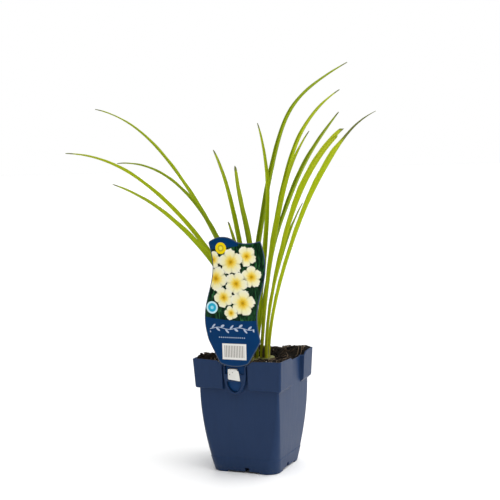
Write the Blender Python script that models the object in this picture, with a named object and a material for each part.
"""A daylily in a square nursery pot, with a printed care label hooked on the front of the pot.

Frame: origin at the centre of the pot's foot on the ground, +Z up, front wall and label toward -Y.
Sizes are in millimetres in the constants and turned into metres where the meshes are made.
"""

import math
import random

import bmesh
import bpy
from mathutils import Matrix, Vector, noise

MM = 0.001
SEED = 41
GAP = 0.3
SINK = 0.6
CLEAR = 9.0
SHARP_OVER = 50.0

# Pot: a straight-sided square tub whose wall curves in toward the foot
POT_HEIGHT = 110.0
BODY_HALF = 40.4
BODY_TAPER = 7.3
BODY_CURVE_FROM = 80.0
CORNER_TOP = 2.0
CORNER_GAIN = 10.0
CORNER_STEPS = 5
WALL = 1.2
STEP_LINE_Z = 14.0
STEP_LINE = 0.3

# Collar round the top of the pot, broken by a recess in the middle of each side
COLLAR_HALF_TOP = 45.0
COLLAR_HALF_LOW = 43.5
COLLAR_LOW_Z = 82.8
COLLAR_FOOT_Z = 79.4
SQUARE_FOOT_Z = 81.8
SQUARE_SIDES = (0, 3)
INNER_RADIUS_MIN = 0.8
RECESS_SIDES = ((-1.7, 12.7), (3.8, 15.2), (1.7, 12.7), (-3.8, 15.2))  # centre, half width
RIM_LEVEL_TO = 34.0
RIM_DIP = 0.7
RIM_SLOPE_OUT = 5.0
RIM_SLOPE_IN = 0.5
RECESS_RIM_DROP = 5.0

# Label pocket in the front recess: a U-shaped rim that narrows to its foot, with a strap across it
POCKET_HALF = 11.3
POCKET_BORDER = 1.4
POCKET_TOP = 104.6
POCKET_BOWL_Z = 97.0
POCKET_BOWL_DROP = 19.0
POCKET_FRONT = 44.6
POCKET_PLATE = 1.1
POCKET_FLOOR = 41.0
STRAP_LOW = 90.0
STRAP_HIGH = 97.0
WINDOW_X = -2.2
WINDOW_HALF = 7.4
WINDOW_DROP = 10.2

# Foot of the pot
FLOOR_Z = 2.6
FLOOR_THICK = 1.6
FOOT_WALL = 1.6
FOOT_LIFT = 1.6
FOOT_LIFT_HALF = 16.5
NOTCH_WIDTH = 4.5
NOTCH_HEIGHT = 5.6
NOTCH_OFFSET = 4.0
PAD_RADIUS = 11.0
DRAIN_RADIUS = 4.5
DRAIN_AT = 16.0
FOOT_INNER = 28.0

# Soil
SOIL_LEVEL = 104.0
SOIL_LUMP = 1.5
SOIL_GRID = 24
SOIL_HEADROOM = 4.0
SOIL_BANK = 7.3
BANK_FROM = 14.0
BANK_TO = 31.0
FRONT_FALL = 12.0
RECESS_FALL = 7.0
GROWN_GAP = 0.1

# Crown: the fans of leaves rise from two short stubs that share one knot of fleshy roots
CROWN_TOP = 104.9
CROWN_FANS = ((-2.2, 1.4, 8.4, 10.6), (9.6, 7.6, 8.2, 10.0))  # x, y, half width, half depth
CROWN_TURN = 22.7
ROW_MIDDLE = (3.7, 4.5)
CROWN_PROFILE = ((0.0, 1.0), (3.5, 1.08), (8.0, 1.02), (13.0, 0.72), (17.0, 0.3))  # depth, swell
CROWN_SIDES = 20
ROOT_COUNT = 9
ROOT_DEPTH = 11.0
ROOT_LENGTH = 50.0
ROOT_RADIUS = 2.1
ROOT_TIP = 0.7
ROOT_SIDES = 7
ROOT_STEPS = 9

# Label: a wavy ribbon of card whose tongue goes down behind the pocket's strap
CARD_PLANE = 46.0
CARD_THICK = 0.7
CARD_MIDDLE = 1.7
CARD_HALF = 26.5
CARD_WAVE = 4.8
CARD_WAVE_PERIOD = 100.0
CARD_WAVE_ZERO_Z = 174.0
CARD_SHOULDER_Z = 129.0
CARD_TOP_Z = 221.0
CARD_CROWN_HALF = 14.6
CARD_CROWN_RISE = 5.0
CARD_TIP_RISE = 1.4
CARD_TOP_SAG = 1.7
CARD_FOOT_Z = 104.6
CARD_FOOT_X = -0.8
CARD_FOOT_HALF = 14.5
CARD_FOOT_RISE = 3.0
CARD_STEPS = 22
TONGUE_X = -1.7
TONGUE_HALF = 9.3
TONGUE_DROP = 17.0
TONGUE_BACK = 41.9
TONGUE_JOIN_Z = 109.0
FLAP = (-7.6, 3.6, 91.0, 102.0)  # left, right, low, high
FLAP_PLANE = 44.9

# Leaves: keeled blades on a bending midrib
LEAF_FOOT_Z = CROWN_TOP + GAP
LEAF_STATIONS = 26
MIDRIB_FINE = 4
BLADE_THICK = 0.7
KEEL_THICK = 1.15
TIP_WIDTH = 0.9
KEEL_ROUND = 10.0
FOOT_NARROW = 0.34
WIDEN_POWER = 2.2
FOLD_FOOT = 19.0
FOLD_TIP = 52.0
OPEN_AT = 0.4
TAPER_AFTER = 0.1
INNER_PART = 0.45

# name, foot along and across the row of fans, heading from the row, length, width, where it is widest,
# fold, taper, leans from the upright along the blade
LEAVES = (
    ("leaf_left_low", -10, -9, 200, 225, 8.8, 0.4, 32, 0.6, (3, 23, 38, 50, 70)),
    ("leaf_left_long", -12, -4, 190, 280, 8.6, 0.3, 33, 0.65, (5, 23, 38, 54, 88)),
    ("leaf_left_dark", -13, 1, 170, 250, 7.4, 0.35, 34, 0.75, (7, 11, 27, 50, 95)),
    ("leaf_left_upper", -9, 7, 155, 315, 6.8, 0.3, 34, 0.75, (2, 22, 32, 46, 78)),
    ("leaf_short", -7, -5, 215, 136, 8.0, 0.4, 36, 0.5, (4, 6, 9, 14, 20)),
    ("leaf_upright_left", -9, 2, 130, 210, 7.6, 0.45, 36, 0.45, (4, 5, 13, 19, 34)),
    ("leaf_upright_front", -2, -2, 240, 190, 8.6, 0.3, 50, 0.35, (3, 3, 11, 20, 7)),
    ("leaf_tallest", -2, 7, 30, 330, 8.8, 0.35, 35, 0.7, (-1, 2, 11, 14, 22, 54, 65)),
    ("leaf_upright_middle", -3, -5, 120, 230, 7.2, 0.4, 36, 0.6, (-10, -10, -10, -11, -6, 11, 27)),
    ("leaf_right_small", 2, -1, -15, 225, 9.0, 0.5, 34, 0.7, (4, 8, 12, 16, 36)),
    ("leaf_right_back", -3, 1, 25, 285, 9.4, 0.45, 36, 0.65, (8, 13, 12, 14, 18, 38, 62)),
    ("leaf_right_torn", 7, -7, -30, 240, 10.4, 0.7, 34, 0.12, (1, 10, 15, 19, 26, 37, 52)),
    ("leaf_right_straight", 3, 9, 30, 262, 7.6, 0.6, 34, 0.6, (5, 8, 12, 24, 28, 38, 44)),
    ("leaf_right_narrow", 6, 4, 10, 155, 5.4, 0.5, 30, 0.7, (4, 9, 16, 20, 30)),
    ("leaf_right_outer", 9, -2, -5, 265, 12.6, 0.7, 36, 0.8, (4, 12, 18, 22, 29, 36, 66)),
)

PLASTIC = (0.018, 0.034, 0.085, 1.0)
PEAT = (0.011, 0.008, 0.006, 1.0)
SHEATH = (0.17, 0.17, 0.03, 1.0)
CARD = (0.004, 0.036, 0.134, 1.0)
BLADE = (0.24, 0.36, 0.012, 1.0)


def clear_scene():
    for obj in list(bpy.data.objects):
        bpy.data.objects.remove(obj, do_unlink=True)


def material(name, colour, roughness):
    """A plain material, made once for each name."""
    mat = bpy.data.materials.get(name) or bpy.data.materials.new(name)
    mat.use_nodes = True
    shader = mat.node_tree.nodes["Principled BSDF"]
    shader.inputs["Base Color"].default_value = colour
    shader.inputs["Roughness"].default_value = roughness
    shader.inputs["Metallic"].default_value = 0.0
    return mat


def add_object(name, bm, mat=None):
    """Scale a mesh built in millimetres to metres and put it in the scene, smooth if it has a finish."""
    bmesh.ops.recalc_face_normals(bm, faces=bm.faces[:])
    bmesh.ops.transform(bm, matrix=Matrix.Scale(MM, 4), verts=bm.verts[:])
    mesh = bpy.data.meshes.new(name)
    bm.to_mesh(mesh)
    bm.free()
    obj = bpy.data.objects.new(name, mesh)
    bpy.context.scene.collection.objects.link(obj)
    if mat is not None:
        mesh.materials.append(mat)
        mesh.shade_smooth()
        mesh.set_sharp_from_angle(angle=math.radians(SHARP_OVER))
    return obj


def combine(obj, other, operation):
    """Apply one Boolean and take the second object away."""
    modifier = obj.modifiers.new("combine", "BOOLEAN")
    modifier.operation = operation
    modifier.solver = "EXACT"
    modifier.object = other
    bpy.context.view_layer.update()
    evaluated = obj.evaluated_get(bpy.context.evaluated_depsgraph_get())
    mesh = bpy.data.meshes.new_from_object(evaluated)
    obj.modifiers.clear()
    obj.data = mesh
    bpy.data.objects.remove(other, do_unlink=True)


def bridge(bm, rings):
    """Join rings of points of one length with quads, and close both ends."""
    loops = [[bm.verts.new(point) for point in ring] for ring in rings]
    for low, high in zip(loops, loops[1:]):
        for i in range(len(low)):
            j = (i + 1) % len(low)
            bm.faces.new((low[i], low[j], high[j], high[i]))
    bm.faces.new(list(reversed(loops[0])))
    bm.faces.new(loops[-1])


def extrude_outline(bm, outline, start, end):
    """A plate: a closed outline of (x, z) pushed along Y from start to end."""
    bridge(bm, [[(x, y, z) for x, z in outline] for y in (start, end)])


def box(name, low, high):
    bm = bmesh.new()
    outline = ((low[0], low[2]), (high[0], low[2]), (high[0], high[2]), (low[0], high[2]))
    extrude_outline(bm, outline, low[1], high[1])
    return add_object(name, bm)


def arc(centre_x, centre_z, radius, start, end, steps):
    """Points of a circle in the XZ plane, angles in degrees."""
    points = []
    for i in range(steps + 1):
        angle = math.radians(start + (end - start) * i / steps)
        points.append((centre_x + radius * math.cos(angle), centre_z + radius * math.sin(angle)))
    return points


def rounded_square(half, radius, z):
    ring = []
    for quarter in range(4):
        corner = math.radians(45 + 90 * quarter)
        centre_x = math.copysign(half - radius, math.cos(corner))
        centre_y = math.copysign(half - radius, math.sin(corner))
        for i in range(CORNER_STEPS + 1):
            angle = math.radians(90 * quarter + 90 * i / CORNER_STEPS)
            x = centre_x + radius * math.cos(angle)
            ring.append((x, centre_y + radius * math.sin(angle), z))
    return ring


def taper_at(z):
    """How far down its curved part the pot's wall is, from 0 at the collar to 1 at the ground."""
    return min(1.0, max(0.0, (BODY_CURVE_FROM - z) / BODY_CURVE_FROM))


def body_half(z):
    return BODY_HALF - BODY_TAPER * taper_at(z) ** 2


def body_radius(z):
    return CORNER_TOP + CORNER_GAIN * taper_at(z) ** 1.5


def collar_half(z):
    part = (z - COLLAR_LOW_Z) / (POT_HEIGHT - COLLAR_LOW_Z)
    return COLLAR_HALF_LOW + (COLLAR_HALF_TOP - COLLAR_HALF_LOW) * part


def tub(name, bottom, top, inset):
    """The pot's plain body, drawn in all round by the inset; low on its outside a fine ledge runs round."""
    heights = [bottom, STEP_LINE_Z - 0.2, STEP_LINE_Z + 0.2]
    heights += [STEP_LINE_Z + (BODY_CURVE_FROM - STEP_LINE_Z) * i / 8 for i in range(1, 9)]
    heights += [top]
    bm = bmesh.new()
    rings = []
    for z in [h for h in heights if bottom <= h <= top]:
        line = STEP_LINE if inset == 0.0 and z < STEP_LINE_Z else 0.0
        radius = max(body_radius(z) - inset, INNER_RADIUS_MIN)
        rings.append(rounded_square(body_half(z) - inset + line, radius, z))
    bridge(bm, rings)
    return add_object(name, bm)


def side_turn(index):
    """Turn that carries the front of the pot to side 0 front, 1 right, 2 back or 3 left."""
    return Matrix.Rotation(math.radians(90 * index), 4, "Z")


def turn_mesh(obj, index):
    obj.data.transform(side_turn(index))


def collar(name, top, inset):
    """The collar's four corner shields, drawn in by the inset; outside, two sides are square below."""
    bm = bmesh.new()
    foot = COLLAR_FOOT_Z if inset == 0.0 else SQUARE_FOOT_Z + inset
    levels = [(foot, BODY_HALF - SINK)]
    levels += [(z, collar_half(z)) for z in (foot + COLLAR_LOW_Z - COLLAR_FOOT_Z, top)]
    radius = max(CORNER_TOP - inset, INNER_RADIUS_MIN)
    rings = [rounded_square(half - inset, radius, z) for z, half in levels]
    bridge(bm, rings)
    shield = add_object(name, bm)
    reach = COLLAR_HALF_TOP + CLEAR
    for index in SQUARE_SIDES if inset == 0.0 else ():
        inner = -(BODY_HALF - SINK / 2)
        under = box("under", (-reach, -reach, COLLAR_FOOT_Z - CLEAR), (reach, inner, SQUARE_FOOT_Z))
        turn_mesh(under, index)
        combine(shield, under, "DIFFERENCE")
    for index, (centre, half) in enumerate(RECESS_SIDES):
        reach = half + inset
        floor = -(BODY_HALF - SINK - inset)
        low = (centre - reach, floor - CLEAR, COLLAR_FOOT_Z - CLEAR)
        recess = box("recess", low, (centre + reach, floor, POT_HEIGHT + CLEAR))
        turn_mesh(recess, index)
        combine(shield, recess, "DIFFERENCE")
    return shield


def pot_form(name, bottom, top, inset):
    """Body and collar as one solid, drawn in by the inset."""
    form = tub(name, bottom, top, inset)
    combine(form, collar("shield", top, inset), "UNION")
    return form


def bowl(half, drop, steps=14):
    """The lower half of an ellipse, from left to right."""
    return [(x, POCKET_BOWL_Z + z * drop / half) for x, z in arc(0.0, 0.0, half, 180, 360, steps)]


def plate(name, outline, shift, near, far, index=0):
    """A plate parallel to one side of the pot, between two distances from its axis."""
    bm = bmesh.new()
    extrude_outline(bm, [(x + shift, z) for x, z in outline], -near, -far)
    obj = add_object(name, bm)
    turn_mesh(obj, index)
    return obj


def add_pocket(pot):
    """Raise the U-shaped rim, cut its slot and open it above and below the strap."""
    centre = RECESS_SIDES[0][0]
    back_of_strap = POCKET_FRONT - POCKET_PLATE
    outer = [(POCKET_HALF, POCKET_TOP), (-POCKET_HALF, POCKET_TOP)]
    outer += bowl(POCKET_HALF, POCKET_BOWL_DROP)
    combine(pot, plate("rim", outer, centre, BODY_HALF - SINK, POCKET_FRONT), "UNION")
    side = POCKET_HALF - POCKET_BORDER
    foot = bowl(side, POCKET_BOWL_DROP - POCKET_BORDER)
    above = POT_HEIGHT + CLEAR
    slot = [(side, above), (-side, above)] + foot
    combine(pot, plate("slot", slot, centre, POCKET_FLOOR, back_of_strap), "DIFFERENCE")
    high = [(-side, STRAP_HIGH), (side, STRAP_HIGH), (side, above), (-side, above)]
    low = []
    for x, z in arc(WINDOW_X - centre, 0.0, WINDOW_HALF, 180, 360, 12):
        low.append((x, STRAP_LOW + z * WINDOW_DROP / WINDOW_HALF))
    for shape in (high, low):
        window = plate("window", shape, centre, back_of_strap - SINK, POCKET_FRONT + CLEAR)
        combine(pot, window, "DIFFERENCE")


def cut_rim(pot):
    """Let the rim fall from the corners to the recesses and drop again across them."""
    for index, (centre, half) in enumerate(RECESS_SIDES):
        edge = POT_HEIGHT - RIM_DIP
        low = POT_HEIGHT - RECESS_RIM_DROP
        above = POT_HEIGHT + CLEAR
        outline = [(-RIM_LEVEL_TO, above), (-RIM_LEVEL_TO, POT_HEIGHT)]
        outline += [(centre - half - RIM_SLOPE_OUT, edge)]
        outline += [(centre - half + RIM_SLOPE_IN, low), (centre + half - RIM_SLOPE_IN, low)]
        outline += [(centre + half + RIM_SLOPE_OUT, edge)]
        outline += [(RIM_LEVEL_TO, POT_HEIGHT), (RIM_LEVEL_TO, above)]
        dip = plate("dip", outline, 0.0, BODY_HALF - WALL * 3, COLLAR_HALF_TOP + WALL, index)
        combine(pot, dip, "DIFFERENCE")


def cylinder(name, x, y, radius, low, high, segments):
    bm = bmesh.new()
    middle = Matrix.Translation((x, y, (low + high) / 2))
    bmesh.ops.create_cone(bm, cap_ends=True, segments=segments, radius1=radius, radius2=radius,
                          depth=high - low, matrix=middle)
    return add_object(name, bm)


def cut_foot(pot):
    """Hollow the foot round a central pad, lift its sides, and cut the notches and drain holes."""
    bm = bmesh.new()
    half = body_half(0.0) - FOOT_WALL
    bridge(bm, [rounded_square(half, body_radius(0.0) - FOOT_WALL, z) for z in (-CLEAR, FLOOR_Z)])
    hollow = add_object("hollow", bm)
    pad = cylinder("pad", 0.0, 0.0, PAD_RADIUS, -CLEAR * 2, FLOOR_Z + SINK, 24)
    combine(hollow, pad, "DIFFERENCE")
    combine(pot, hollow, "DIFFERENCE")
    inner = FOOT_INNER
    outer = COLLAR_HALF_TOP
    for index in range(4):
        centre = NOTCH_OFFSET if index % 2 == 0 else -NOTCH_OFFSET
        lift = box("lift", (-FOOT_LIFT_HALF, -outer, -CLEAR), (FOOT_LIFT_HALF, -inner, FOOT_LIFT))
        notch = box("notch", (centre - NOTCH_WIDTH / 2, -outer, -CLEAR),
                    (centre + NOTCH_WIDTH / 2, -inner, NOTCH_HEIGHT))
        for cutter in (lift, notch):
            turn_mesh(cutter, index)
            combine(pot, cutter, "DIFFERENCE")
    for x in (-DRAIN_AT, DRAIN_AT):
        for y in (-DRAIN_AT, DRAIN_AT):
            drain = cylinder("drain", x, y, DRAIN_RADIUS, -CLEAR, CLEAR, 16)
            combine(pot, drain, "DIFFERENCE")


def build_pot():
    pot = pot_form("pot", 0.0, POT_HEIGHT, 0.0)
    add_pocket(pot)
    cavity = pot_form("cavity", FLOOR_Z + FLOOR_THICK, POT_HEIGHT + CLEAR, WALL)
    combine(pot, cavity, "DIFFERENCE")
    cut_rim(pot)
    cut_foot(pot)
    pot.data.materials.clear()
    pot.data.materials.append(material("pot_plastic", PLASTIC, 0.45))
    return pot


def stub(name, fan, grow, top):
    """One fan's stub: an oval stack that swells below its top and draws in to its base."""
    x, y, half_across, half_away = fan
    turn = Matrix.Rotation(math.radians(CROWN_TURN), 4, "Z")
    rings = []
    for depth, swell in reversed(CROWN_PROFILE):
        z = top if depth == 0.0 else CROWN_TOP - depth - grow
        ring = []
        for i in range(CROWN_SIDES):
            angle = 2 * math.pi * i / CROWN_SIDES
            across = (half_across * swell + grow) * math.cos(angle)
            away = (half_away * swell + grow) * math.sin(angle)
            ring.append(turn @ Vector((across, away, 0.0)) + Vector((x, y, z)))
        rings.append(ring)
    bm = bmesh.new()
    bridge(bm, rings)
    return add_object(name, bm)


def root(start, bearing, length, slope, drop, grow):
    """A fleshy root that leaves the crown and bends down as it tapers."""
    rings = []
    point = start.copy()
    for step in range(ROOT_STEPS + 1):
        t = step / ROOT_STEPS
        dip = slope + drop * t
        level = math.cos(dip)
        heading = Vector((math.cos(bearing) * level, math.sin(bearing) * level, -math.sin(dip)))
        across = heading.cross(Vector((0, 0, 1))).normalized()
        upward = across.cross(heading)
        radius = ROOT_RADIUS + (ROOT_TIP - ROOT_RADIUS) * t ** 1.4 + grow
        centre = point + heading * (grow if step == ROOT_STEPS else 0.0)
        ring = []
        for side in range(ROOT_SIDES):
            angle = 2 * math.pi * side / ROOT_SIDES
            ring.append(centre + across * radius * math.cos(angle) + upward * radius * math.sin(angle))
        rings.append(ring)
        point = point + heading * length / ROOT_STEPS
    bm = bmesh.new()
    bridge(bm, rings)
    return add_object("root", bm)


def crown_solid(name, grow, top):
    """Both stubs and the roots as one solid; the same form, grown, cuts their place in the soil."""
    rng = random.Random(SEED)
    solid = stub(name, CROWN_FANS[0], grow, top)
    combine(solid, stub(name, CROWN_FANS[1], grow, top), "UNION")
    for index in range(ROOT_COUNT):
        x, y = CROWN_FANS[index % len(CROWN_FANS)][:2]
        bearing = 2 * math.pi * index / ROOT_COUNT + rng.uniform(-0.15, 0.15)
        length = ROOT_LENGTH * rng.uniform(0.8, 1.1)
        slope = math.radians(rng.uniform(28, 50))
        drop = math.radians(rng.uniform(28, 48))
        start = Vector((x, y, CROWN_TOP - ROOT_DEPTH))
        combine(solid, root(start, bearing, length, slope, drop, grow), "UNION")
    return solid


def build_crown():
    crown = crown_solid("crown_roots", 0.0, CROWN_TOP)
    crown.data.materials.clear()
    crown.data.materials.append(material("crown_sheath", SHEATH, 0.6))
    return crown


def ease(part):
    """A smooth step from 0 to 1."""
    part = min(1.0, max(0.0, part))
    return part * part * (3 - 2 * part)


def recess_fall(x, y):
    """1 over most of the soil, 0 against the low rim of a recess."""
    fall = 1.0
    for index, (centre, half) in enumerate(RECESS_SIDES):
        spot = side_turn(-index) @ Vector((x, y, 0.0))
        beside = ease((abs(spot.x - centre) - half) / RECESS_FALL)
        behind = ease((BODY_HALF - WALL + spot.y) / RECESS_FALL)
        fall *= max(beside, behind)
    return fall


def soil_height(x, y):
    """Lumpy top that banks up to the rim at the back and left, and falls to each recess."""
    lump = noise.fractal(Vector((x * 0.045, y * 0.045, 2.7)), 0.9, 2.1, 4) * SOIL_LUMP
    back = ease((y - BANK_FROM) / (BANK_TO - BANK_FROM))
    left = ease((-x - BANK_FROM) / (BANK_TO - BANK_FROM))
    left *= ease((y + COLLAR_HALF_TOP) / FRONT_FALL)
    return SOIL_LEVEL + lump + SOIL_BANK * max(back, left) * recess_fall(x, y)


def above_soil():
    """Everything over the lumpy top, as one block to cut away."""
    span = COLLAR_HALF_TOP + CLEAR
    steps = [-span + 2 * span * i / SOIL_GRID for i in range(SOIL_GRID + 1)]
    bm = bmesh.new()
    low = [[bm.verts.new((x, y, soil_height(x, y))) for x in steps] for y in steps]
    high = [[bm.verts.new((x, y, POT_HEIGHT + CLEAR)) for x in steps] for y in steps]
    for layer in (low, high):
        for row, next_row in zip(layer, layer[1:]):
            for i in range(SOIL_GRID):
                bm.faces.new((row[i], row[i + 1], next_row[i + 1]))
                bm.faces.new((row[i], next_row[i + 1], next_row[i]))
    for i in range(SOIL_GRID):
        for edge in (0, SOIL_GRID):
            bm.faces.new((low[edge][i], low[edge][i + 1], high[edge][i + 1], high[edge][i]))
            bm.faces.new((low[i][edge], low[i + 1][edge], high[i + 1][edge], high[i][edge]))
    return add_object("above", bm)


def build_soil():
    """Fill the pot to its lumpy top, less the crown and roots that grow in it."""
    soil = pot_form("soil", FLOOR_Z + FLOOR_THICK + GAP, POT_HEIGHT + SOIL_HEADROOM, WALL + GAP)
    combine(soil, above_soil(), "DIFFERENCE")
    combine(soil, crown_solid("place", GAP + GROWN_GAP, POT_HEIGHT + CLEAR), "DIFFERENCE")
    soil.data.materials.clear()
    soil.data.materials.append(material("potting_soil", PEAT, 0.95))
    return soil


def card_middle(z):
    turn = 2 * math.pi * (z - CARD_WAVE_ZERO_Z) / CARD_WAVE_PERIOD
    return CARD_MIDDLE + CARD_WAVE * math.sin(turn)


def card_outline():
    """Up the wavy right edge, over the crowned left top, down the left edge, and round the foot."""
    right = []
    left = []
    for i in range(CARD_STEPS + 1):
        z = CARD_SHOULDER_Z + (CARD_TOP_Z - CARD_SHOULDER_Z) * i / CARD_STEPS
        right.append((card_middle(z) + CARD_HALF, z))
        left.append((card_middle(z) - CARD_HALF, z))
    crown_x = left[-1][0] + CARD_CROWN_HALF
    crown = []
    for i in range(1, 12):
        across = 1.0 - 2.0 * i / 12
        rise = CARD_CROWN_RISE * (1.0 - across ** 2)
        crown.append((crown_x + CARD_CROWN_HALF * across, CARD_TOP_Z + rise))
    crown_end = crown_x + CARD_CROWN_HALF
    dip = []
    for i in range(1, 8):
        t = i / 8
        x = right[-1][0] + (crown_end - right[-1][0]) * t
        dip.append((x, CARD_TOP_Z + CARD_TIP_RISE * (1.0 - t) - CARD_TOP_SAG * 4 * t * (1.0 - t)))
    right[-1] = (right[-1][0], CARD_TOP_Z + CARD_TIP_RISE)
    foot = []
    for i in range(13):
        across = -1.0 + 2.0 * i / 12
        rise = CARD_FOOT_RISE * across ** 2
        foot.append((CARD_FOOT_X + CARD_FOOT_HALF * across, CARD_FOOT_Z + rise))
    return right + dip + [(crown_end, CARD_TOP_Z)] + crown + list(reversed(left)) + foot


def build_label():
    """The card, its tongue set back behind the strap, and the white flap folded over the strap."""
    bm = bmesh.new()
    extrude_outline(bm, card_outline(), -CARD_PLANE, -CARD_PLANE - CARD_THICK)
    label = add_object("label_card", bm)
    left = TONGUE_X - TONGUE_HALF
    right = TONGUE_X + TONGUE_HALF
    tip = [(x + TONGUE_X, z) for x, z in bowl(TONGUE_HALF, TONGUE_DROP)]
    bm = bmesh.new()
    outline = [(right, TONGUE_JOIN_Z), (left, TONGUE_JOIN_Z)] + tip
    extrude_outline(bm, outline, -TONGUE_BACK, -TONGUE_BACK - CARD_THICK)
    combine(label, add_object("tongue", bm), "UNION")
    fold = box("fold", (left, -CARD_PLANE - CARD_THICK / 2, TONGUE_JOIN_Z - CARD_THICK),
               (right, -TONGUE_BACK, TONGUE_JOIN_Z))
    combine(label, fold, "UNION")
    flap_left, flap_right, flap_low, flap_high = FLAP
    flap = box("flap", (flap_left, -FLAP_PLANE - CARD_THICK, flap_low),
               (flap_right, -FLAP_PLANE, flap_high))
    combine(label, flap, "UNION")
    hinge = box("hinge", (flap_left + CARD_THICK, -FLAP_PLANE - CARD_THICK / 2, flap_high - CARD_THICK),
                (flap_right - CARD_THICK, -TONGUE_BACK - CARD_THICK / 2, flap_high))
    combine(label, hinge, "UNION")
    label.data.materials.clear()
    label.data.materials.append(material("label_card", CARD, 0.35))
    return label


def along(values, t):
    """Smooth curve through evenly spaced values."""
    last = len(values) - 1
    k = min(int(t * last), last - 1)
    f = t * last - k
    slope = [(values[min(i + 1, last)] - values[max(i - 1, 0)]) / (2.0 if 0 < i < last else 1.0)
             for i in (k, k + 1)]
    start = (2 * f ** 3 - 3 * f ** 2 + 1) * values[k] + (f ** 3 - 2 * f ** 2 + f) * slope[0]
    end = (3 * f ** 2 - 2 * f ** 3) * values[k + 1] + (f ** 3 - f ** 2) * slope[1]
    return start + end


def row_direction(heading):
    """Level direction at an angle from the row of fans."""
    turn = math.radians(heading + CROWN_TURN)
    return Vector((math.cos(turn), math.sin(turn), 0.0))


def midrib(row, aside, heading, length, leans):
    """Points and tangents of a leaf's midrib, bending in one upright plane."""
    outward = row_direction(heading)
    count = (LEAF_STATIONS - 1) * MIDRIB_FINE
    point = Vector((*ROW_MIDDLE, LEAF_FOOT_Z)) + row_direction(0) * row + row_direction(90) * aside
    stations = []
    for i in range(count + 1):
        lean = math.radians(along(leans, i / count))
        tangent = outward * math.sin(lean) + Vector((0, 0, math.cos(lean)))
        if i % MIDRIB_FINE == 0:
            stations.append((point, tangent))
        point = point + tangent * length / count
    return stations


def blade_width(width, widest, taper, t):
    """Narrow at the foot, widest part of the way along, then drawn out to the tip."""
    foot = FOOT_NARROW + (1.0 - FOOT_NARROW) * min(t / widest, 1.0) ** WIDEN_POWER
    tip = min(1.0, (1.0 - t) / (1.0 - widest - TAPER_AFTER)) ** taper
    return TIP_WIDTH + (width - TIP_WIDTH) * foot * tip


def blade_fold(fold, t):
    """Half angle of the keel: nearly shut at the foot, opening along the blade."""
    if t < OPEN_AT:
        return FOLD_FOOT + (fold - FOLD_FOOT) * math.sin(t / OPEN_AT * math.pi / 2)
    return fold + (FOLD_TIP - fold) * ((t - OPEN_AT) / (1.0 - OPEN_AT)) ** 2


def blade_section(width, fold):
    """Outline of the folded blade across its midrib: (across, up), inner face then outer face."""
    half = width / 2
    inner_angle = math.radians(fold + KEEL_ROUND)
    outer_angle = math.radians(fold - KEEL_ROUND * 0.6)
    middle = Vector((math.sin(inner_angle), math.cos(inner_angle))) * half * INNER_PART
    edge = middle + Vector((math.sin(outer_angle), math.cos(outer_angle))) * half * (1 - INNER_PART)
    inner_out = Vector((math.cos(inner_angle), -math.sin(inner_angle)))
    outer_out = Vector((math.cos(outer_angle), -math.sin(outer_angle)))
    skin_middle = middle + (inner_out + outer_out).normalized() * BLADE_THICK
    skin_edge = edge + outer_out * BLADE_THICK
    keel = Vector((0.0, -KEEL_THICK))
    right = [Vector((0.0, 0.0)), middle, edge, skin_edge, skin_middle, keel]
    left = [Vector((-p.x, p.y)) for p in (skin_middle, skin_edge, edge, middle)]
    return right + left


def build_leaf(name, row, aside, heading, length, width, widest, fold, taper, leans, mat):
    """Loft the folded section along the midrib; the foot is cut level, to stand on the crown."""
    bm = bmesh.new()
    across = row_direction(heading + 90)
    loops = []
    for index, (point, tangent) in enumerate(midrib(row, aside, heading, length, leans)):
        t = index / (LEAF_STATIONS - 1)
        if index == 0:
            tangent = Vector((0.0, 0.0, 1.0))
        inward = tangent.cross(across)
        section = blade_section(blade_width(width, widest, taper, t), blade_fold(fold, t))
        loops.append([bm.verts.new(point + across * p.x + inward * p.y) for p in section])
    count = len(loops[0])
    for low, high in zip(loops, loops[1:]):
        for i in range(count):
            j = (i + 1) % count
            bm.faces.new((low[i], low[j], high[j]))
            bm.faces.new((low[i], high[j], high[i]))
    bm.faces.new(list(reversed(loops[0])))
    bm.faces.new(loops[-1])
    return add_object(name, bm, mat)


def build():
    clear_scene()
    build_pot()
    build_crown()
    build_soil()
    build_label()
    blade = material("leaf_blade", BLADE, 0.4)
    for leaf in LEAVES:
        build_leaf(*leaf, blade)


build()
